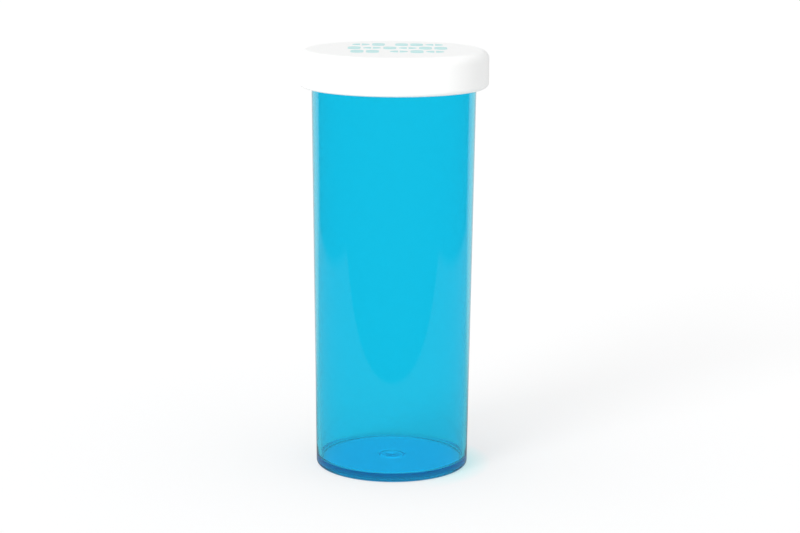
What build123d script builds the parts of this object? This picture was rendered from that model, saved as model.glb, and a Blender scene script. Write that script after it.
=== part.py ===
from build123d import *
import os

# A prescription vial: a tapered, clear plastic body on a recessed foot, closed by a push-and-turn cap.
# The cap is two shells, one inside the other. The inner one carries the thread and the sealing liner.
# The outer one slips round it until it is pressed down against the return spring, and its drive lugs
# then drop into the notches of the inner one.
#
# Millimetres, +Z up along the vial's axis. The origin is the middle of the foot, on the surface that the
# vial stands on. Every piece is drawn closed and at rest.

# Overall sizes
overall_height = 132.4
cap_radius = 29.5
cap_height = 11.6
base_radius = 24.1
neck_radius = 25.6
vial_wall = 1.2

# Cap stack, from the top down
outer_top = 1.1
push_travel = 1.4
push_spare = 0.2
inner_top = 1.1
liner_thickness = 0.8

cap_bottom_z = overall_height - cap_height
outer_ceiling_z = overall_height - outer_top
inner_top_z = outer_ceiling_z - push_travel - push_spare
inner_ceiling_z = inner_top_z - inner_top
rim_z = inner_ceiling_z - liner_thickness

# Foot and floor of the vial
foot_radius = 22.6
foot_slope = 0.3
foot_depth = 0.7
foot_corner = 1.0
floor_z = 2.6
floor_corner = 1.0
floor_dome_radius = 6.0
floor_dome_height = 0.4
gate_well_radius = 4.0
gate_well_depth = 0.4
gate_radius = 0.8
gate_height = 0.3

# Neck of the vial, straight from just above the cap's lower edge
neck_start_z = cap_bottom_z + 0.4
rim_corner = 0.45

# Quick thread: four starts, right-handed. The cap's ridges hang just under the neck's.
thread_starts = 4
thread_lead = 16.0
thread_height = 1.0
thread_root = 1.8
thread_crest = 0.8
thread_gap = 0.15
thread_mesh = 1.4
ridge_sink = 0.3
neck_ridge_arc = 63.0
neck_ridge_z = 123.4
cap_ridge_arc = 60.0
cap_ridge_lag = 15.0
cap_ridge_z = neck_ridge_z + thread_lead * cap_ridge_lag / 360 - thread_mesh

# Inner shell
inner_bore_radius = neck_radius + thread_height + thread_gap
inner_wall = 1.2
inner_radius = inner_bore_radius + inner_wall
inner_bottom_z = cap_bottom_z + 0.9
inner_corner = 0.3
spring_seat_radius = 18.3
spring_seat_depth = 0.4

# Outer shell
outer_wall = 1.25
outer_bore_radius = cap_radius - outer_wall
outer_top_corner = 2.7
outer_bottom_corner = 1.6
outer_ceiling_corner = 0.8
bead_radius = 27.5
bead_height = 0.35
bead_slope = 0.35

# Drive lugs of the outer shell and notches of the inner one
drive_count = 12
lug_width = 4.4
lug_ramp_width = 0.9
lug_ramp_height = 0.7
lug_radius = 27.45
lug_clear = 0.1
lug_root = 0.2
notch_width = 6.4
notch_radius = 27.3
notch_depth = 1.5

# Sealing liner
liner_radius = 26.2

# Return spring: a flat ring whose tabs carry rising leaf fingers
spring_floor_z = inner_top_z - spring_seat_depth
spring_leaf = 0.5
spring_clear = 0.05
spring_ring_inner = 9.0
spring_ring_outer = 13.5
finger_count = 6
finger_radius = 16.0
finger_width = 3.0
finger_arc = 40.0
finger_rise = outer_ceiling_z - spring_floor_z - spring_leaf - spring_clear
tab_width = 6.0
tab_inner = spring_ring_outer - 1.0
tab_outer = finger_radius + finger_width / 2


def across(path):
    """The plane that a ridge's section is drawn on: square to the path's start, X pointing outwards."""
    return Plane(origin=path.line @ 0, x_dir=(1, 0, 0), z_dir=path.line % 0)


def round_corner(section, corner, radius):
    """Rounds the corner of a section that lies at a given radius and height."""
    fillet(section.vertices().sort_by_distance(corner)[0], radius)


def ridge_outline(outward):
    """The outline of a thread ridge, its root sunk into the wall. outward is 1 on a neck, -1 in a bore."""
    Polyline(
        (-ridge_sink * outward, -thread_root / 2),
        (0, -thread_root / 2),
        (thread_height * outward, -thread_crest / 2),
        (thread_height * outward, thread_crest / 2),
        (0, thread_root / 2),
        (-ridge_sink * outward, thread_root / 2),
        close=True,
    )


# Thread ridge of the neck
with BuildPart() as neck_ridge:
    with BuildLine(Plane.XY.offset(neck_ridge_z)) as neck_ridge_path:
        Helix(thread_lead, thread_lead * neck_ridge_arc / 360, neck_radius)
    with BuildSketch(across(neck_ridge_path)):
        with BuildLine():
            ridge_outline(outward=1)
        make_face()
    sweep(path=neck_ridge_path.line, is_frenet=True)

# Vial: one moulding with a drafted wall, a threaded neck and a recessed foot
with BuildPart() as vial_body:
    with BuildSketch(Plane.XZ) as vial_section:
        with BuildLine():
            dome_span = (floor_dome_radius**2 + floor_dome_height**2) / (2 * floor_dome_height)
            RadiusArc((0, floor_z + floor_dome_height), (floor_dome_radius, floor_z), dome_span)
            Polyline(
                (floor_dome_radius, floor_z),
                (base_radius - vial_wall, floor_z),
                (neck_radius - vial_wall, neck_start_z),
                (neck_radius - vial_wall, rim_z),
                (neck_radius, rim_z),
                (neck_radius, neck_start_z),
                (base_radius, 0),
                (foot_radius, 0),
                (foot_radius - foot_slope, foot_depth),
                (gate_well_radius, foot_depth),
                (gate_well_radius - gate_well_depth, foot_depth + gate_well_depth),
                (gate_radius, foot_depth + gate_well_depth),
                (gate_radius, foot_depth + gate_well_depth - gate_height),
                (0, foot_depth + gate_well_depth - gate_height),
                (0, floor_z + floor_dome_height),
            )
        make_face()
        round_corner(vial_section, (base_radius, 0), foot_corner)
        round_corner(vial_section, (base_radius - vial_wall, floor_z), floor_corner)
        round_corner(vial_section, (neck_radius, rim_z), rim_corner)
        round_corner(vial_section, (neck_radius - vial_wall, rim_z), rim_corner)
    revolve(axis=Axis.Z)
    with PolarLocations(0, thread_starts):
        add(neck_ridge.part)
vial_body.part.label = "vial_body"

# Sealing liner: a foamed disc under the ceiling of the inner shell
with BuildPart() as sealing_liner:
    with BuildSketch(Plane.XY.offset(rim_z)):
        Circle(liner_radius)
    extrude(amount=liner_thickness)
sealing_liner.part.label = "sealing_liner"

# Thread ridge of the inner shell
with BuildPart() as cap_ridge:
    with BuildLine(Plane.XY.offset(cap_ridge_z)) as cap_ridge_path:
        Helix(thread_lead, thread_lead * cap_ridge_arc / 360, inner_bore_radius)
    with BuildSketch(across(cap_ridge_path)):
        with BuildLine():
            ridge_outline(outward=-1)
        make_face()
    sweep(path=cap_ridge_path.line, is_frenet=True)

# Inner shell: threaded inside, notched round its top edge, with a shallow seat for the spring
with BuildPart() as inner_cap:
    with BuildSketch(Plane.XZ) as inner_section:
        with BuildLine():
            Polyline(
                (0, inner_ceiling_z),
                (inner_bore_radius, inner_ceiling_z),
                (inner_bore_radius, inner_bottom_z),
                (inner_radius, inner_bottom_z),
                (inner_radius, inner_top_z),
                (spring_seat_radius, inner_top_z),
                (spring_seat_radius, spring_floor_z),
                (0, spring_floor_z),
                close=True,
            )
        make_face()
        round_corner(inner_section, (inner_radius, inner_top_z), inner_corner)
        round_corner(inner_section, (inner_radius, inner_bottom_z), inner_corner)
    revolve(axis=Axis.Z)
    with BuildSketch(Plane.XY.offset(inner_top_z)):
        with PolarLocations(notch_radius + inner_wall, drive_count):
            Rectangle(2 * inner_wall, notch_width)
    extrude(amount=-notch_depth, mode=Mode.SUBTRACT)
    with PolarLocations(0, thread_starts, start_angle=cap_ridge_lag):
        add(cap_ridge.part)
inner_cap.part.label = "inner_cap"

# Leaf finger of the return spring
with BuildPart() as spring_finger:
    with BuildLine(Plane.XY.offset(spring_floor_z + spring_leaf / 2)) as finger_path:
        Helix(finger_rise * 360 / finger_arc, finger_rise, finger_radius)
    with BuildSketch(Plane(origin=finger_path.line @ 0, x_dir=(1, 0, 0), z_dir=(0, 1, 0))):
        Rectangle(finger_width, spring_leaf)
    sweep(path=finger_path.line, is_frenet=True)

# Return spring: it lies in the seat of the inner shell, and its finger tips hold the outer one up
with BuildPart() as return_spring:
    with BuildSketch(Plane.XY.offset(spring_floor_z)):
        Circle(spring_ring_outer)
        with PolarLocations((tab_inner + tab_outer) / 2, finger_count):
            Rectangle(tab_outer - tab_inner, tab_width)
        Circle(spring_ring_inner, mode=Mode.SUBTRACT)
    extrude(amount=spring_leaf)
    with PolarLocations(0, finger_count):
        add(spring_finger.part)
return_spring.part.label = "return_spring"

# Drive lug: square on both flanks, with a ramp on the leading edge so that it slips until pressed home
lug_drop = outer_ceiling_z - inner_top_z - lug_clear
with BuildPart() as drive_lug:
    with BuildSketch(Plane(origin=(lug_radius, 0, outer_ceiling_z), x_dir=(0, 1, 0), z_dir=(1, 0, 0))):
        with BuildLine():
            Polyline(
                (-lug_width / 2, lug_root),
                (lug_width / 2, lug_root),
                (lug_width / 2, lug_ramp_height - lug_drop),
                (lug_width / 2 - lug_ramp_width, -lug_drop),
                (-lug_width / 2, -lug_drop),
                close=True,
            )
        make_face()
    extrude(amount=outer_bore_radius + lug_root - lug_radius)

# Outer shell: smooth outside, with a bead round its mouth that keeps the inner shell in
with BuildPart() as outer_cap:
    with BuildSketch(Plane.XZ) as outer_section:
        with BuildLine():
            Polyline(
                (0, outer_ceiling_z),
                (outer_bore_radius, outer_ceiling_z),
                (outer_bore_radius, cap_bottom_z + bead_height + bead_slope),
                (bead_radius, cap_bottom_z + bead_height),
                (bead_radius, cap_bottom_z),
                (cap_radius, cap_bottom_z),
                (cap_radius, overall_height),
                (0, overall_height),
                close=True,
            )
        make_face()
        round_corner(outer_section, (cap_radius, overall_height), outer_top_corner)
        round_corner(outer_section, (cap_radius, cap_bottom_z), outer_bottom_corner)
        round_corner(outer_section, (outer_bore_radius, outer_ceiling_z), outer_ceiling_corner)
    revolve(axis=Axis.Z)
    with PolarLocations(0, drive_count):
        add(drive_lug.part)
outer_cap.part.label = "outer_cap"

os.makedirs("parts", exist_ok=True)
for piece in (vial_body, sealing_liner, inner_cap, return_spring, outer_cap):
    export_step(piece.part, f"parts/{piece.part.label}.step")
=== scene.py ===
import math

import bmesh
import bpy
from mathutils import Euler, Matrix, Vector


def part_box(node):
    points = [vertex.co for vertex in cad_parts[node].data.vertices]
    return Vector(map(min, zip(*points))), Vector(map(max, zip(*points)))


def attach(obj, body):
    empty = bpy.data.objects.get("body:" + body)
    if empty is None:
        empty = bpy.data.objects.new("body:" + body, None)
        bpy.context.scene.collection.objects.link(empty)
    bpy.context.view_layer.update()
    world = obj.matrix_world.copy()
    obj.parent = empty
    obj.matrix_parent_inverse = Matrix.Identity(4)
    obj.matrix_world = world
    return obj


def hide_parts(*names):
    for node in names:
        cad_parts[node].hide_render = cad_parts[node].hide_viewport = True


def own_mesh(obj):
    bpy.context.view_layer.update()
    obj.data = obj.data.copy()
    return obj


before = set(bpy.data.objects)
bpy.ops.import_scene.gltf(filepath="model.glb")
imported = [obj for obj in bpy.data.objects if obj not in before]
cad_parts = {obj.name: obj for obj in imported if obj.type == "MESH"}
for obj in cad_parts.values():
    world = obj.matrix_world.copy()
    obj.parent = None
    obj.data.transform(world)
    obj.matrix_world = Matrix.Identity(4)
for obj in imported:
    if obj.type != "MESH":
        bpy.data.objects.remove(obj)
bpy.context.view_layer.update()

mm = 0.001
print("frame loaded:", sorted(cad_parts))

# where the CAD pieces stand
capLow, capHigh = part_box("outer_cap")
shellLow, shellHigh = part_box("inner_cap")
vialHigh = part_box("vial_body")[1]
linerLow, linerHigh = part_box("sealing_liner")
springLow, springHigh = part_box("return_spring")


# round stretch of a turned outline, as (radius, height) points with both ends
def roundCorner(centreR, centreZ, radius, fromDeg, toDeg, steps=8):
    points = []
    for step in range(steps + 1):
        angle = math.radians(fromDeg + (toDeg - fromDeg) * step / steps)
        points.append((centreR + radius * math.cos(angle), centreZ + radius * math.sin(angle)))
    return points


# straight stretch with points strictly between its ends
def between(start, end, count):
    return [(start[0] + (end[0] - start[0]) * i / (count + 1),
             start[1] + (end[1] - start[1]) * i / (count + 1)) for i in range(1, count + 1)]


def easeInOut(t):
    t = min(max(t, 0.0), 1.0)
    return t * t * (3 - 2 * t)


# turns a closed outline round the axis; each column is (angle in degrees, outline of (r, z) points),
# so the outline may change from column to column, as it does at a thread or a lug
def turnColumns(name, columns, sharpAngle=35):
    bm = bmesh.new()
    rings = []
    for angle, outline in columns:
        c, s = math.cos(math.radians(angle)), math.sin(math.radians(angle))
        rings.append([bm.verts.new((r * c, r * s, z)) for r, z in outline])
    count = len(rings[0])
    for i, ring in enumerate(rings):
        following = rings[(i + 1) % len(rings)]
        for j in range(count - 1):
            bm.faces.new((ring[j], following[j], following[j + 1], ring[j + 1]))
    bmesh.ops.remove_doubles(bm, verts=bm.verts, dist=1e-7)
    bmesh.ops.dissolve_degenerate(bm, dist=1e-7, edges=bm.edges)
    bmesh.ops.recalc_face_normals(bm, faces=bm.faces)
    return meshObject(name, bm, sharpAngle)


def meshObject(name, bm, sharpAngle=35):
    mesh = bpy.data.meshes.new(name)
    bm.to_mesh(mesh)
    bm.free()
    mesh.shade_smooth()
    mesh.set_sharp_from_angle(angle=math.radians(sharpAngle))
    piece = bpy.data.objects.new(name, mesh)
    bpy.context.scene.collection.objects.link(piece)
    return piece


# node helpers
def newMaterial(name):
    material = bpy.data.materials.new(name)
    material.use_nodes = True
    tree = material.node_tree
    shader = tree.nodes["Principled BSDF"]
    return material, tree, shader


def addNode(tree, kind, **settings):
    node = tree.nodes.new(kind)
    for key, value in settings.items():
        if key in node.inputs:
            node.inputs[key].default_value = value
        else:
            setattr(node, key, value)
    return node


def noiseOn(tree, scale, detail=3.0, rough=0.5, stretch=(1, 1, 1)):
    place = addNode(tree, "ShaderNodeTexCoord")
    mapping = addNode(tree, "ShaderNodeMapping")
    mapping.inputs["Scale"].default_value = stretch
    noise = addNode(tree, "ShaderNodeTexNoise", Scale=scale, Detail=detail, Roughness=rough)
    tree.links.new(place.outputs["Object"], mapping.inputs["Vector"])
    tree.links.new(mapping.outputs["Vector"], noise.inputs["Vector"])
    return noise


def rampFrom(tree, source, low, high, fromLow=0.3, fromHigh=0.7):
    ramp = addNode(tree, "ShaderNodeMapRange")
    ramp.inputs["From Min"].default_value = fromLow
    ramp.inputs["From Max"].default_value = fromHigh
    ramp.inputs["To Min"].default_value = low
    ramp.inputs["To Max"].default_value = high
    tree.links.new(source, ramp.inputs["Value"])
    return ramp


def bumpFrom(tree, shader, source, strength, distance):
    bump = addNode(tree, "ShaderNodeBump", Strength=strength, Distance=distance)
    tree.links.new(source, bump.inputs["Height"])
    tree.links.new(bump.outputs["Normal"], shader.inputs["Normal"])
    return bump


# one step of arithmetic; each side is a number or a socket
def mathOn(tree, kind, first, second):
    node = addNode(tree, "ShaderNodeMath", operation=kind)
    for socket, value in zip(node.inputs, (first, second)):
        if isinstance(value, (int, float)):
            socket.default_value = value
        else:
            tree.links.new(value, socket)
    return node.outputs[0]


# thread shared by the neck and the inner shell, sizes in mm
thread = {
    "starts": 4,
    "lead": 16.0,
    "height": 1.0,
    "root": 1.8,
    "crest": 0.8,
    "leadInDeg": 7.0,
    "rounding": 0.12,
}

# offsets up the ridge and the share of its height there, from root to root
ridgeShape = [
    (-0.5 * thread["root"], 0.0),
    (-0.5 * thread["root"] + 0.6 * thread["rounding"], 0.12),
    (-0.5 * thread["crest"] - 0.6 * thread["rounding"], 0.88),
    (-0.5 * thread["crest"] + thread["rounding"], 1.0),
    (0.5 * thread["crest"] - thread["rounding"], 1.0),
    (0.5 * thread["crest"] + 0.6 * thread["rounding"], 0.88),
    (0.5 * thread["root"] - 0.6 * thread["rounding"], 0.12),
    (0.5 * thread["root"], 0.0),
]


# rows of the threaded zone at one angle: they climb with the ridge and drop back in the gap before the next
def threadRows(angle, firstDeg, arc, ridgeZ, lowZ, highZ, wallR, outward):
    step = 360.0 / thread["starts"]
    local = (angle - firstDeg) % step
    climb = thread["lead"] * arc / 360
    if local <= arc:
        centre = ridgeZ + climb * local / arc
        swell = easeInOut(local / thread["leadInDeg"]) * easeInOut((arc - local) / thread["leadInDeg"])
    else:
        centre = ridgeZ + climb * (1 - easeInOut((local - arc) / (step - arc)))
        swell = 0.0
    rows = [(wallR, lowZ)]
    start = (wallR, centre + ridgeShape[0][0])
    rows += between((wallR, lowZ), start, 3)
    reach = outward * thread["height"] * swell
    rows += [(wallR + reach * share, centre + offset) for offset, share in ridgeShape]
    end = (wallR, centre + ridgeShape[-1][0])
    rows += between(end, (wallR, highZ), 3)
    rows.append((wallR, highZ))
    return rows


def inMetres(points):
    return [(r * mm, z * mm) for r, z in points]


# Vial, sizes in mm; its height and neck come from the CAD piece
vial = {
    "baseRadius": 24.1,
    "wall": 1.2,
    "straightAbove": 121.2,
    "footRadius": 22.6,
    "footSlope": 0.3,
    "footDepth": 0.7,
    "footCorner": 1.0,
    "floorTop": 2.6,
    "floorCorner": 1.0,
    "domeRadius": 6.0,
    "domeHeight": 0.4,
    "gateWell": 4.0,
    "gateWellDepth": 0.4,
    "gateRadius": 0.8,
    "gateHeight": 0.3,
    "rimCorner": 0.45,
    "ridgeZ": 123.4,
    "ridgeArc": 63.0,
    "columns": 288,
}


def makeVial():
    v = vial
    rimZ = vialHigh.z / mm
    neckR = vialHigh.x / mm - thread["height"]
    innerNeckR = neckR - v["wall"]
    innerBaseR = v["baseRadius"] - v["wall"]
    fc, rc, ic = v["footCorner"], v["rimCorner"], v["floorCorner"]

    def innerR(z):
        share = (z - v["floorTop"]) / (v["straightAbove"] - v["floorTop"])
        return innerBaseR + (innerNeckR - innerBaseR) * share

    def outerR(z):
        return v["baseRadius"] + (neckR - v["baseRadius"]) * z / v["straightAbove"]

    # inside, from the middle of the floor up to the rim
    dome = 10
    inside = [(v["domeRadius"] * i / dome, v["floorTop"] + v["domeHeight"] * (1 - easeInOut(i / dome)))
              for i in range(dome + 1)]
    inside += between(inside[-1], (innerR(v["floorTop"]) - ic, v["floorTop"]), 7)
    inside += roundCorner(innerR(v["floorTop"] + ic) - ic, v["floorTop"] + ic, ic, -90, 0, 10)
    wallStart = inside[-1]
    inside += between(wallStart, (innerNeckR, v["straightAbove"]), 40)
    inside.append((innerNeckR, v["straightAbove"]))
    inside += between((innerNeckR, v["straightAbove"]), (innerNeckR, rimZ - rc), 3)
    rim = roundCorner(innerNeckR + rc, rimZ - rc, rc, 180, 90, 8)
    rim += roundCorner(neckR - rc, rimZ - rc, rc, 90, 0, 8)
    # outside, from below the thread down to the foot, then in under the floor
    outside = between((neckR, v["straightAbove"] + 0.6), (neckR, v["straightAbove"]), 1)
    outside.append((neckR, v["straightAbove"]))
    footTop = (outerR(fc), fc)
    outside += between((neckR, v["straightAbove"]), footTop, 40)
    outside += roundCorner(outerR(fc) - fc, fc, fc, 0, -90, 12)
    lip = 0.25
    outside += roundCorner(v["footRadius"] + lip, lip, lip, -90, -180, 5)
    outside.append((v["footRadius"] - v["footSlope"] + 0.15, v["footDepth"] - 0.25))
    outside += roundCorner(v["footRadius"] - v["footSlope"] - 0.2, v["footDepth"] - 0.25, 0.25, 0, 90, 4)
    wellZ = v["footDepth"] + v["gateWellDepth"]
    wellOut, wellIn = v["gateWell"] + 0.2, v["gateWell"] - v["gateWellDepth"] - 0.2
    outside += between((v["footRadius"] - v["footSlope"] - 0.2, v["footDepth"]), (wellOut, v["footDepth"]), 7)
    outside += [(wellOut + (wellIn - wellOut) * i / 8, v["footDepth"] + v["gateWellDepth"] * easeInOut(i / 8))
                for i in range(9)]
    outside += between((wellIn, wellZ), (v["gateRadius"] + 0.15, wellZ), 2)
    outside += [(v["gateRadius"] + 0.15, wellZ), (v["gateRadius"], wellZ - 0.1)]
    gateZ = wellZ - v["gateHeight"]
    outside += [(v["gateRadius"] - 0.12, gateZ + 0.04), (v["gateRadius"] - 0.3, gateZ), (0, gateZ)]
    columns = []
    for i in range(v["columns"]):
        angle = 360.0 * i / v["columns"]
        neck = threadRows(angle, 0, v["ridgeArc"], v["ridgeZ"], v["straightAbove"] + 0.6, rimZ - rc, neckR, 1)
        columns.append((angle, inMetres(inside + rim + neck[::-1][1:] + outside)))
    return turnColumns("vialBody", columns)


# clear, blue-tinted polypropylene
vialFinish = {
    "ior": 1.49,
    "roughness": (0.02, 0.045),
    "frost": 0.5,
    "tint": (0.12, 0.782, 0.92, 1),
    "absorbDensity": 450.0,
    "absorbColour": (0.0, 0.886, 0.958, 1),
    "rippleDepth": 0.00003,
}


def vialPlastic():
    material, tree, shader = newMaterial("vialClearBlue")
    f = vialFinish
    shader.inputs["Base Color"].default_value = f["tint"]
    shader.inputs["Transmission Weight"].default_value = 1.0
    shader.inputs["IOR"].default_value = f["ior"]
    flow = noiseOn(tree, 60, 3, 0.5, (1, 1, 0.35))
    rough = rampFrom(tree, flow.outputs["Fac"], f["roughness"][0], f["roughness"][1])
    # the mould is frosted on the underside, inside the foot ring
    place = addNode(tree, "ShaderNodeTexCoord")
    flat = addNode(tree, "ShaderNodeVectorMath", operation="MULTIPLY")
    flat.inputs[1].default_value = (1, 1, 0)
    tree.links.new(place.outputs["Object"], flat.inputs[0])
    radius = addNode(tree, "ShaderNodeVectorMath", operation="LENGTH")
    tree.links.new(flat.outputs["Vector"], radius.inputs[0])
    ringEdge = (vial["footRadius"] - vial["footSlope"]) * mm
    inRing = rampFrom(tree, radius.outputs["Value"], 1, 0, ringEdge - 0.0004, ringEdge)
    height = addNode(tree, "ShaderNodeSeparateXYZ")
    tree.links.new(place.outputs["Object"], height.inputs[0])
    frostTop = (vial["footDepth"] + vial["gateWellDepth"] + 0.4) * mm
    below = rampFrom(tree, height.outputs["Z"], 1, 0, frostTop, frostTop + 0.0004)
    frosted = addNode(tree, "ShaderNodeMath", operation="MULTIPLY")
    tree.links.new(inRing.outputs["Result"], frosted.inputs[0])
    tree.links.new(below.outputs["Result"], frosted.inputs[1])
    finish = addNode(tree, "ShaderNodeMix")
    finish.inputs[3].default_value = f["frost"]
    tree.links.new(frosted.outputs[0], finish.inputs[0])
    tree.links.new(rough.outputs["Result"], finish.inputs[2])
    tree.links.new(finish.outputs[0], shader.inputs["Roughness"])
    ripple = noiseOn(tree, 22, 1.5, 0.4, (1, 1, 0.25))
    bumpFrom(tree, shader, ripple.outputs["Fac"], 0.25, f["rippleDepth"])
    absorb = addNode(tree, "ShaderNodeVolumeAbsorption", Density=f["absorbDensity"])
    absorb.inputs["Color"].default_value = f["absorbColour"]
    tree.links.new(absorb.outputs["Volume"], tree.nodes["Material Output"].inputs["Volume"])
    return material


vialPiece = makeVial()
vialPiece.data.materials.append(vialPlastic())
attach(vialPiece, "vial")
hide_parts("vial_body")
print("vial made:", len(vialPiece.data.polygons), "faces")

# Outer shell of the cap, sizes in mm
outerShell = {
    "wall": 1.25,
    "top": 1.1,
    "topCorner": 2.7,
    "lowerCorner": 1.6,
    "ceilingCorner": 0.8,
    "beadRadius": 27.5,
    "beadHeight": 0.35,
    "beadSlope": 0.35,
    "lugs": 12,
    "lugRadius": 27.45,
    "lugWidth": 4.4,
    "lugDepth": 1.5,
    "rampWidth": 0.9,
    "rampHeight": 0.7,
    "inkDepth": 0.03,
    "columns": 288,
}


def makeOuterShell():
    o = outerShell
    capR = capHigh.x / mm
    topZ = capHigh.z / mm - o["inkDepth"]
    lowZ = capLow.z / mm
    boreR = capR - o["wall"]
    ceilingZ = capHigh.z / mm - o["top"]
    tc, lc, cc = o["topCorner"], o["lowerCorner"], o["ceilingCorner"]
    lugZ = ceilingZ - o["lugDepth"]
    outside = [(0, topZ)]
    outside += between((0, topZ), (capR - tc, topZ), 12)
    outside += roundCorner(capR - tc, topZ - tc, tc, 90, 0, 14)
    outside += between((capR, topZ - tc), (capR, lowZ + lc), 10)
    outside += roundCorner(capR - lc, lowZ + lc, lc, 0, -90, 10)
    lip = 0.12
    outside += roundCorner(o["beadRadius"] + lip, lowZ + lip, lip, -90, -180, 4)
    outside += roundCorner(o["beadRadius"] + lip, lowZ + o["beadHeight"] - lip, lip, 180, 135, 3)
    outside.append((boreR, lowZ + o["beadHeight"] + o["beadSlope"]))
    outside += between((boreR, lowZ + o["beadHeight"] + o["beadSlope"]), (boreR, lugZ), 8)
    plainCorner = [(boreR, lugZ)] + roundCorner(boreR - cc, ceilingZ - cc, cc, 0, 90, 7)
    ceiling = between((boreR - cc, ceilingZ), (0, ceilingZ), 10) + [(0, ceilingZ)]

    def lugCorner(rampShare):
        bottom = lugZ + o["rampHeight"] * rampShare
        edge = 0.12
        points = [(boreR, bottom)] + between((boreR, bottom), (o["lugRadius"] + edge, bottom), 1)
        points += roundCorner(o["lugRadius"] + edge, bottom + edge, edge, -90, -180, 3)
        points += between(points[-1], (boreR - cc, ceilingZ), 2)
        return points + [(boreR - cc, ceilingZ)]

    halfLug = math.degrees(0.5 * o["lugWidth"] / o["lugRadius"])
    ramp = math.degrees(o["rampWidth"] / o["lugRadius"])
    pitch = 360.0 / o["lugs"]
    assert len(lugCorner(0)) == len(plainCorner)
    columns = []
    for lug in range(o["lugs"]):
        middle = pitch * lug
        marks = [(middle - halfLug, None), (middle - halfLug, 0), (middle, 0)]
        marks += [(middle + halfLug - ramp, 0), (middle + halfLug, 1), (middle + halfLug, None)]
        for angle, share in marks:
            corner = plainCorner if share is None else lugCorner(share)
            columns.append((angle, inMetres(outside + corner + ceiling)))
        perGap = int(o["columns"] / o["lugs"]) - 6
        gap = pitch - 2 * halfLug
        for i in range(1, perGap):
            columns.append((middle + halfLug + gap * i / perGap, inMetres(outside + plainCorner + ceiling)))
    return turnColumns("outerShell", columns)


# white polypropylene with a fine spark-eroded satin
capFinish = {
    "colour": (0.90, 0.905, 0.905, 1),
    "warmer": (0.885, 0.89, 0.88, 1),
    "roughness": (0.34, 0.46),
    "grainDepth": 0.000012,
    "glow": 0.12,
}


def capPlastic(name, finish):
    material, tree, shader = newMaterial(name)
    broad = noiseOn(tree, 35, 2, 0.5)
    mix = addNode(tree, "ShaderNodeMix", data_type="RGBA")
    mix.inputs[6].default_value = finish["colour"]
    mix.inputs[7].default_value = finish["warmer"]
    tree.links.new(broad.outputs["Fac"], mix.inputs[0])
    tree.links.new(mix.outputs[2], shader.inputs["Base Color"])
    fine = noiseOn(tree, 2600, 2, 0.6)
    rough = rampFrom(tree, fine.outputs["Fac"], finish["roughness"][0], finish["roughness"][1])
    tree.links.new(rough.outputs["Result"], shader.inputs["Roughness"])
    bumpFrom(tree, shader, fine.outputs["Fac"], 0.35, finish["grainDepth"])
    shader.inputs["IOR"].default_value = 1.49
    shader.inputs["Subsurface Weight"].default_value = finish["glow"]
    shader.inputs["Subsurface Radius"].default_value = (1.0, 0.95, 0.9)
    shader.inputs["Subsurface Scale"].default_value = 0.0012
    return material


outerPiece = makeOuterShell()
outerPiece.data.materials.append(capPlastic("capWhite", capFinish))
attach(outerPiece, "outer_shell")
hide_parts("outer_cap")
print("outer shell made:", len(outerPiece.data.polygons), "faces")

# Inner shell of the cap, sizes in mm
innerShell = {
    "threadGap": 0.15,
    "ridgeArc": 60.0,
    "ridgeLag": 15.0,
    "ridgeBelow": 1.4,
    "top": 1.1,
    "corner": 0.3,
    "seatRadius": 18.3,
    "seatDepth": 0.4,
    "notches": 12,
    "notchRadius": 27.3,
    "notchWidth": 6.4,
    "notchDepth": 1.5,
    "columns": 288,
}


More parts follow.
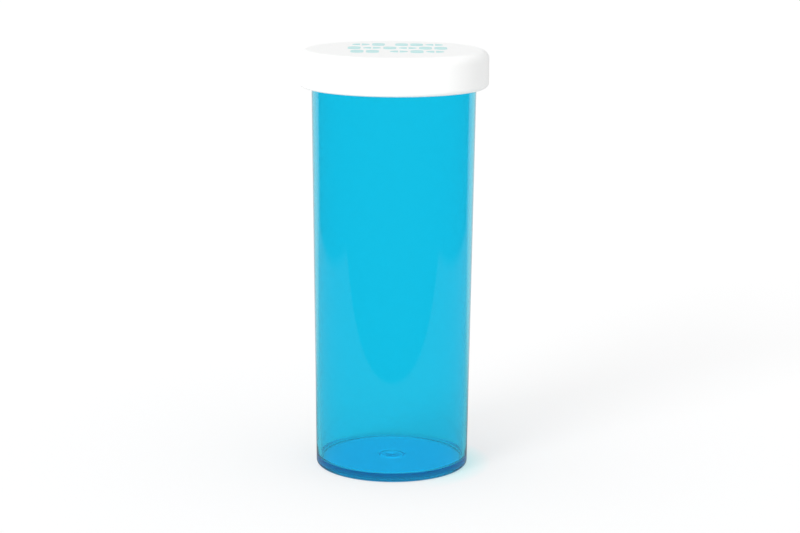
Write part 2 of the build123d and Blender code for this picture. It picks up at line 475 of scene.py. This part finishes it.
def makeInnerShell():
    n = innerShell
    neckR = vialHigh.x / mm - thread["height"]
    boreR = neckR + thread["height"] + n["threadGap"]
    outR = shellHigh.x / mm
    lowZ, topZ = shellLow.z / mm, shellHigh.z / mm
    ceilingZ = topZ - n["top"]
    seatZ = topZ - n["seatDepth"]
    ridgeZ = vial["ridgeZ"] + thread["lead"] * n["ridgeLag"] / 360 - n["ridgeBelow"]
    c = n["corner"]
    top = [(0, seatZ)] + between((0, seatZ), (n["seatRadius"] - 0.1, seatZ), 8)
    top += [(n["seatRadius"] - 0.1, seatZ), (n["seatRadius"], seatZ + 0.1), (n["seatRadius"], topZ - 0.1)]
    top.append((n["seatRadius"] + 0.1, topZ))
    top += between(top[-1], (n["notchRadius"], topZ), 4)
    notchZ = topZ - n["notchDepth"]
    plainEdge = [(n["notchRadius"], topZ)] + roundCorner(outR - c, topZ - c, c, 90, 0, 5) + [(outR, notchZ)]
    notchEdge = [(n["notchRadius"], topZ)] + between((n["notchRadius"], topZ), (n["notchRadius"], notchZ), 4)
    notchEdge += [(n["notchRadius"], notchZ)] + between((n["notchRadius"], notchZ), (outR, notchZ), 1)
    notchEdge += [(outR, notchZ)]
    assert len(plainEdge) == len(notchEdge)
    skirt = between((outR, notchZ), (outR, lowZ + c), 6)
    skirt += roundCorner(outR - c, lowZ + c, c, 0, -90, 5)
    mouth = 0.1
    skirt += roundCorner(boreR + mouth, lowZ + mouth, mouth, -90, -180, 3)[:-1]
    ceiling = [(boreR, ceilingZ)] + between((boreR, ceilingZ), (0, ceilingZ), 8) + [(0, ceilingZ)]
    halfNotch = math.degrees(math.asin(0.5 * n["notchWidth"] / n["notchRadius"]))
    pitch = 360.0 / n["notches"]

    def column(angle, edge):
        boreLow, boreHigh = lowZ + mouth, ceilingZ - 0.8
        bore = threadRows(angle, n["ridgeLag"], n["ridgeArc"], ridgeZ, boreLow, boreHigh, boreR, -1)
        return (angle, inMetres(top + edge + skirt + bore + ceiling))

    columns = []
    for notch in range(n["notches"]):
        middle = pitch * notch
        columns.append(column(middle - halfNotch, plainEdge))
        for i in range(9):
            columns.append(column(middle - halfNotch + 2 * halfNotch * i / 8, notchEdge))
        columns.append(column(middle + halfNotch, plainEdge))
        gap = pitch - 2 * halfNotch
        for i in range(1, 14):
            columns.append(column(middle + halfNotch + gap * i / 14, plainEdge))
    return turnColumns("innerShell", columns)


innerFinish = {
    "colour": (0.88, 0.88, 0.87, 1),
    "warmer": (0.86, 0.86, 0.84, 1),
    "roughness": (0.3, 0.42),
    "grainDepth": 0.000008,
    "glow": 0.15,
}

innerPiece = makeInnerShell()
innerPiece.data.materials.append(capPlastic("innerWhite", innerFinish))
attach(innerPiece, "inner_shell")
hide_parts("inner_cap")
print("inner shell made:", len(innerPiece.data.polygons), "faces")

# Sealing liner, sizes in mm
liner = {
    "edge": 0.3,
    "dent": 0.05,
    "dentWidth": 1.3,
    "columns": 192,
}


def makeLiner():
    radius = linerHigh.x / mm
    lowZ, highZ = linerLow.z / mm, linerHigh.z / mm
    e = liner["edge"]
    rimR = vialHigh.x / mm - thread["height"] - 0.5 * vial["wall"]
    outline = [(0, highZ)] + between((0, highZ), (radius - e, highZ), 8)
    outline += roundCorner(radius - e, highZ - e, e, 90, 0, 5)
    outline += roundCorner(radius - e, lowZ + e, e, 0, -90, 5)
    # the rim has pressed a shallow ring into the foam
    for side, sunk in ((0.5, 0), (0.3, liner["dent"]), (-0.3, liner["dent"]), (-0.5, 0)):
        outline.append((rimR + side * liner["dentWidth"], lowZ + sunk))
    outline += between(outline[-1], (0, lowZ), 8) + [(0, lowZ)]
    columns = [(360.0 * i / liner["columns"], inMetres(outline)) for i in range(liner["columns"])]
    return turnColumns("sealingLiner", columns)


linerFinish = {
    "cells": 1900,
    # darker colour in the cell pits: painted shade in their hollows
    "pitShade": (0.78, 0.78, 0.76, 1),
    "skin": (0.9, 0.9, 0.88, 1),
    "roughness": 0.62,
    "pitDepth": 0.00004,
}


def linerFoam():
    material, tree, shader = newMaterial("linerFoam")
    cells = addNode(tree, "ShaderNodeTexVoronoi", Scale=linerFinish["cells"])
    place = addNode(tree, "ShaderNodeTexCoord")
    tree.links.new(place.outputs["Object"], cells.inputs["Vector"])
    # the cell pits are darker: painted shade in the hollows that the bump sinks
    mix = addNode(tree, "ShaderNodeMix", data_type="RGBA")
    mix.inputs[6].default_value = linerFinish["pitShade"]
    mix.inputs[7].default_value = linerFinish["skin"]
    tree.links.new(cells.outputs["Distance"], mix.inputs[0])
    tree.links.new(mix.outputs[2], shader.inputs["Base Color"])
    shader.inputs["Roughness"].default_value = linerFinish["roughness"]
    bumpFrom(tree, shader, cells.outputs["Distance"], 0.4, linerFinish["pitDepth"])
    return material


linerPiece = makeLiner()
linerPiece.data.materials.append(linerFoam())
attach(linerPiece, "liner")
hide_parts("sealing_liner")
print("liner made")

# Return spring, sizes in mm
spring = {
    "ringInner": 9.0,
    "ringOuter": 13.5,
    "leaf": 0.5,
    "fingers": 6,
    "fingerRadius": 16.0,
    "fingerWidth": 3.0,
    "fingerArc": 40.0,
    "tabWidth": 6.0,
    "edge": 0.08,
}


def makeSpring():
    s = spring
    floorZ, tipZ = springLow.z / mm, springHigh.z / mm
    rise = tipZ - floorZ - s["leaf"]
    halfTab = math.degrees(0.5 * s["tabWidth"] / s["fingerRadius"])
    fingerIn = s["fingerRadius"] - 0.5 * s["fingerWidth"]
    fingerOut = s["fingerRadius"] + 0.5 * s["fingerWidth"]
    radii = [s["ringInner"], s["ringOuter"], fingerIn, fingerOut]
    pitch = 360.0 / s["fingers"]
    steps = []
    for finger in range(s["fingers"]):
        middle = pitch * finger
        marks = [middle - halfTab + 2 * halfTab * i / 8 for i in range(9)]
        marks += [middle + halfTab + (s["fingerArc"] - halfTab) * i / 14 for i in range(1, 15)]
        tail = pitch - s["fingerArc"] - halfTab
        marks += [middle + s["fingerArc"] + tail * i / 4 for i in range(1, 4)]
        steps += marks
    bm = bmesh.new()
    made = {}

    def corner(i, j, upper):
        key = (i % len(steps), j, upper)
        if key not in made:
            angle = steps[i % len(steps)]
            along = angle % pitch
            climbing = j >= 2 and along <= s["fingerArc"] + 1e-6
            lift = rise * along / s["fingerArc"] if climbing else 0.0
            z = floorZ + lift + (s["leaf"] if upper else 0)
            a = math.radians(angle)
            made[key] = bm.verts.new((radii[j] * math.cos(a) * mm, radii[j] * math.sin(a) * mm, z * mm))
        return made[key]

    def filled(i, j):
        angle = 0.5 * (steps[i] + (steps[i + 1] if i + 1 < len(steps) else steps[0] + 360))
        local = angle % pitch
        onTab = local < halfTab or local > pitch - halfTab
        if j == 0:
            return True
        if j == 1:
            return onTab
        return onTab or local < s["fingerArc"]

    count = len(steps)
    cells = set((i, j) for i in range(count) for j in range(3) if filled(i, j))
    for i, j in cells:
        bm.faces.new((corner(i, j, 1), corner(i, j + 1, 1), corner(i + 1, j + 1, 1), corner(i + 1, j, 1)))
        bm.faces.new((corner(i, j, 0), corner(i + 1, j, 0), corner(i + 1, j + 1, 0), corner(i, j + 1, 0)))
        if (i, j - 1) not in cells:
            bm.faces.new((corner(i, j, 0), corner(i, j, 1), corner(i + 1, j, 1), corner(i + 1, j, 0)))
        if (i, j + 1) not in cells:
            near, far = (i, j + 1), (i + 1, j + 1)
            bm.faces.new((corner(*near, 1), corner(*near, 0), corner(*far, 0), corner(*far, 1)))
        if ((i - 1) % count, j) not in cells:
            bm.faces.new((corner(i, j, 1), corner(i, j, 0), corner(i, j + 1, 0), corner(i, j + 1, 1)))
        if ((i + 1) % count, j) not in cells:
            near, far = (i + 1, j), (i + 1, j + 1)
            bm.faces.new((corner(*near, 0), corner(*near, 1), corner(*far, 1), corner(*far, 0)))
    bmesh.ops.recalc_face_normals(bm, faces=bm.faces)
    return meshObject("returnSpring", bm, 35)


springFinish = {
    "colour": (0.80, 0.82, 0.78, 1),
    "warmer": (0.76, 0.78, 0.73, 1),
    "roughness": (0.22, 0.34),
    "grainDepth": 0.000006,
    "glow": 0.35,
}

springPiece = makeSpring()
springPiece.data.materials.append(capPlastic("springMilky", springFinish))
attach(springPiece, "inner_shell")
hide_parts("return_spring")
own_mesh(springPiece)
print("return spring made")

# Ink on the cap: three rows of small capsules and tablets, sizes in mm
capInk = {
    "rows": ("tc cct", "ctctcc", "cc tct"),
    "rowPitch": 10.9,
    "middleX": 1.0,
    "middleY": 3.5,
    "capsuleTall": 8.4,
    "capsuleWide": 4.0,
    "tabletWide": 5.6,
    "space": 1.8,
    "gap": 0.75,
    "score": 0.55,
    "sunk": 0.03,
    "colour": (0.38, 0.69, 0.69, 1),
    "thinner": (0.56, 0.79, 0.79, 1),
}


# one end of a capsule or half of a tablet: a straight cut and a round end
def roundEnd(centreX, centreY, radius, reach, turnDeg, steps=14):
    c, s = math.cos(math.radians(turnDeg)), math.sin(math.radians(turnDeg))
    half = 0.5 * capInk["score"]
    startDeg = math.degrees(math.asin(min(half / radius, 1))) if reach <= radius else 0
    points = []
    if reach > radius:
        points = [(-radius, half), (radius, half)]
    for step in range(steps + 1):
        angle = math.radians(startDeg + (180 - 2 * startDeg) * step / steps)
        points.append((radius * math.cos(angle), max(reach - radius, 0) + radius * math.sin(angle)))
    return [(centreX + x * c - y * s, centreY + x * s + y * c) for x, y in points]


def inkPatch(bm, loop, zTop, zLow):
    upper = [bm.verts.new((x * mm, y * mm, zTop)) for x, y in loop]
    lower = [bm.verts.new((x * mm, y * mm, zLow)) for x, y in loop]
    bm.faces.new(upper)
    bm.faces.new(lower[::-1])
    for i in range(len(loop)):
        k = (i + 1) % len(loop)
        bm.faces.new((lower[i], lower[k], upper[k], upper[i]))


def makeInk():
    k = capInk
    zTop, zLow = capHigh.z, capHigh.z - (outerShell["inkDepth"] + k["sunk"]) * mm
    wideOf = {"c": k["capsuleWide"], "t": k["tabletWide"], " ": k["space"]}
    bm = bmesh.new()
    for row, marks in enumerate(k["rows"]):
        widths = [wideOf[mark] for mark in marks]
        x = k["middleX"] - 0.5 * (sum(widths) + k["gap"] * (len(marks) - 1))
        y = k["middleY"] + k["rowPitch"] * (1 - row)
        for mark, wide in zip(marks, widths):
            reach = 0.5 * (k["capsuleTall"] if mark == "c" else wide)
            # a tablet is scored upright, a capsule is seamed across
            turns = {"c": (0, 180), "t": (90, 270), " ": ()}[mark]
            for turn in turns:
                inkPatch(bm, roundEnd(x + 0.5 * wide, y, 0.5 * wide, reach, turn), zTop, zLow)
            x += wide + k["gap"]
    bmesh.ops.recalc_face_normals(bm, faces=bm.faces)
    return meshObject("capInk", bm, 30)


def inkFilm():
    material, tree, shader = newMaterial("paleTealInk")
    speckle = noiseOn(tree, 1500, 3, 0.6)
    mix = addNode(tree, "ShaderNodeMix", data_type="RGBA")
    mix.inputs[6].default_value = capInk["colour"]
    mix.inputs[7].default_value = capInk["thinner"]
    tree.links.new(speckle.outputs["Fac"], mix.inputs[0])
    tree.links.new(mix.outputs[2], shader.inputs["Base Color"])
    shader.inputs["Roughness"].default_value = 0.5
    return material


inkPiece = makeInk()
inkPiece.data.materials.append(inkFilm())
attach(inkPiece, "outer_shell")
print("cap ink made")

# Room: a pale floor that glows a little, surroundings brighter from the front and left, one soft key light
room = {
    "floorSize": 12.0,
    "floorColour": (0.43, 0.43, 0.43, 1),
    "glow": 0.515,
    "footGlow": 1.15,
    "footFade": (0.0215, 0.0235),
    "footColour": (0.2, 0.77, 1.0, 1),
    "besideColour": (0.68, 1.02, 1.02, 1),
    "besideFade": (0.025, 0.032),
    "besideFrom": (0.008, 0.022),
    "aroundDim": 0.54,
    "aroundBright": 1.17,
    "aroundFrom": (-0.3, -0.72, 0.6),
    "beyond": 1.0,
    "tableFront": -0.136,
    "tableHalf": 0.33,
    "behindSlope": 0.8,
    "tableMirrored": 0.31,
    "backMirrored": 0.72,
    "darkMirrored": 0.04,
    "keyStrength": 1.5,
    "keyAngle": 26.0,
    "keyFrom": (-0.56, -0.74, 0.375),
}


# 1 for light that a shiny surface throws back, 0 for what is seen straight or through the plastic
def mirrorRay(tree):
    path = addNode(tree, "ShaderNodeLightPath")
    both = addNode(tree, "ShaderNodeMath", operation="MULTIPLY")
    tree.links.new(path.outputs["Is Glossy Ray"], both.inputs[0])
    tree.links.new(path.outputs["Is Reflection Ray"], both.inputs[1])
    return both.outputs[0]


# what shiny surfaces mirror instead of the floor itself: a lit table, dark past its front edge and its
# sides, and white far behind
def tableBrightness(tree, along, across):
    front = room["tableFront"]
    aside = mathOn(tree, "ABSOLUTE", across, 0.0)
    inFront = rampFrom(tree, along, 0, 1, front - 0.003, front + 0.003).outputs["Result"]
    inside = rampFrom(tree, aside, 1, 0, room["tableHalf"] - 0.02, room["tableHalf"] + 0.02).outputs["Result"]
    table = mathOn(tree, "MULTIPLY", inFront, inside)
    behind = mathOn(tree, "SUBTRACT", along, mathOn(tree, "MULTIPLY", aside, room["behindSlope"]))
    back = rampFrom(tree, behind, 0, room["backMirrored"], -0.03, 0.07).outputs["Result"]
    lit = mathOn(tree, "MAXIMUM", mathOn(tree, "MULTIPLY", table, room["tableMirrored"]), back)
    return mathOn(tree, "MAXIMUM", lit, room["darkMirrored"])


def makeFloor():
    bpy.ops.mesh.primitive_plane_add(size=room["floorSize"], location=(0, 2.0, 0))
    floor = bpy.context.object
    floor.name = "floor"
    material, tree, shader = newMaterial("paleFloor")
    shader.inputs["Base Color"].default_value = room["floorColour"]
    shader.inputs["Roughness"].default_value = 0.9
    shader.inputs["Specular IOR Level"].default_value = 0.0
    geometry = addNode(tree, "ShaderNodeNewGeometry")
    place = geometry.outputs["Position"]
    distance = addNode(tree, "ShaderNodeVectorMath", operation="LENGTH")
    tree.links.new(place, distance.inputs[0])
    # stand-in, not simulated: a brighter, bluer patch under the foot for the light that the plastic gathers
    above = mathOn(tree, "SUBTRACT", 1.0, geometry.outputs["Backfacing"])
    foot = rampFrom(tree, distance.outputs["Value"], 1, 0, *room["footFade"]).outputs["Result"]
    foot = mathOn(tree, "MULTIPLY", foot, above)
    strength = rampFrom(tree, foot, room["glow"], room["footGlow"], 0, 1)
    tree.links.new(strength.outputs["Result"], shader.inputs["Emission Strength"])
    split = addNode(tree, "ShaderNodeSeparateXYZ")
    tree.links.new(place, split.inputs[0])
    # stand-in, not simulated: a teal patch fixed beside the base for the light that comes through the wall
    close = rampFrom(tree, distance.outputs["Value"], 1, 0, *room["besideFade"]).outputs["Result"]
    away = rampFrom(tree, split.outputs["X"], 0, 1, *room["besideFrom"]).outputs["Result"]
    beside = addNode(tree, "ShaderNodeMix", data_type="RGBA")
    beside.inputs[6].default_value = (1, 1, 1, 1)
    beside.inputs[7].default_value = room["besideColour"]
    patch = mathOn(tree, "MULTIPLY", mathOn(tree, "MULTIPLY", close, away), above)
    tree.links.new(patch, beside.inputs[0])
    colour = addNode(tree, "ShaderNodeMix", data_type="RGBA")
    colour.inputs[7].default_value = room["footColour"]
    tree.links.new(foot, colour.inputs[0])
    tree.links.new(beside.outputs[2], colour.inputs[6])
    tree.links.new(colour.outputs[2], shader.inputs["Emission Color"])
    mirrored = addNode(tree, "ShaderNodeEmission")
    tree.links.new(tableBrightness(tree, split.outputs["Y"], split.outputs["X"]), mirrored.inputs["Strength"])
    either = addNode(tree, "ShaderNodeMixShader")
    tree.links.new(mirrorRay(tree), either.inputs[0])
    tree.links.new(shader.outputs[0], either.inputs[1])
    tree.links.new(mirrored.outputs[0], either.inputs[2])
    tree.links.new(either.outputs[0], tree.nodes["Material Output"].inputs["Surface"])
    floor.data.materials.append(material)


def makeLights():
    world = bpy.data.worlds.new("surroundings")
    bpy.context.scene.world = world
    world.use_nodes = True
    tree = world.node_tree
    sky = tree.nodes["Background"]
    sky.inputs["Color"].default_value = (1, 1, 1, 1)
    path = addNode(tree, "ShaderNodeLightPath")
    # white where seen or looked at through the plastic, softer as light, and dark in front where mirrored
    seen = mathOn(tree, "MAXIMUM", path.outputs["Is Camera Ray"], path.outputs["Is Transmission Ray"])
    place = addNode(tree, "ShaderNodeTexCoord")
    way = addNode(tree, "ShaderNodeSeparateXYZ")
    tree.links.new(place.outputs["Generated"], way.inputs[0])
    depth = rampFrom(tree, way.outputs["Y"], room["darkMirrored"], room["backMirrored"], 0.3, 0.7)
    facing = addNode(tree, "ShaderNodeVectorMath", operation="DOT_PRODUCT")
    facing.inputs[1].default_value = Vector(room["aroundFrom"]).normalized()
    tree.links.new(place.outputs["Generated"], facing.inputs[0])
    around = rampFrom(tree, facing.outputs["Value"], room["aroundDim"], room["aroundBright"], -1, 1)
    mirrored = addNode(tree, "ShaderNodeMix")
    tree.links.new(around.outputs["Result"], mirrored.inputs[2])
    tree.links.new(mirrorRay(tree), mirrored.inputs[0])
    tree.links.new(depth.outputs["Result"], mirrored.inputs[3])
    strength = addNode(tree, "ShaderNodeMix")
    strength.inputs[3].default_value = room["beyond"]
    tree.links.new(seen, strength.inputs[0])
    tree.links.new(mirrored.outputs[0], strength.inputs[2])
    tree.links.new(strength.outputs[0], sky.inputs["Strength"])
    key = bpy.data.lights.new("keyLight", "SUN")
    key.energy = room["keyStrength"]
    key.angle = math.radians(room["keyAngle"])
    lamp = bpy.data.objects.new("keyLight", key)
    lamp.rotation_euler = Vector(room["keyFrom"]).to_track_quat("Z", "Y").to_euler()
    lamp.visible_transmission = False  # keeps its image out of the clear wall
    bpy.context.scene.collection.objects.link(lamp)


makeFloor()
makeLights()
bpy.context.scene.view_settings.view_transform = "Standard"
print("room made")

# Camera, in metres and degrees
cameraSetup = {
    "place": (0.00225, -0.655, 0.197),
    "downDeg": 11.5,
    "rollDeg": 0.39,
    "lens": 95.2,
    "sensor": 36.0,
}


def makeCamera():
    data = bpy.data.cameras.new("camera")
    data.lens = cameraSetup["lens"]
    data.sensor_width = cameraSetup["sensor"]
    data.clip_end = 50
    camera = bpy.data.objects.new("camera", data)
    aim = Euler((math.radians(90 - cameraSetup["downDeg"]), 0, 0)).to_quaternion()
    roll = Euler((0, 0, math.radians(cameraSetup["rollDeg"]))).to_quaternion()
    camera.rotation_euler = (aim @ roll).to_euler()
    camera.location = cameraSetup["place"]
    bpy.context.scene.collection.objects.link(camera)
    bpy.context.scene.camera = camera


makeCamera()
print("camera placed")
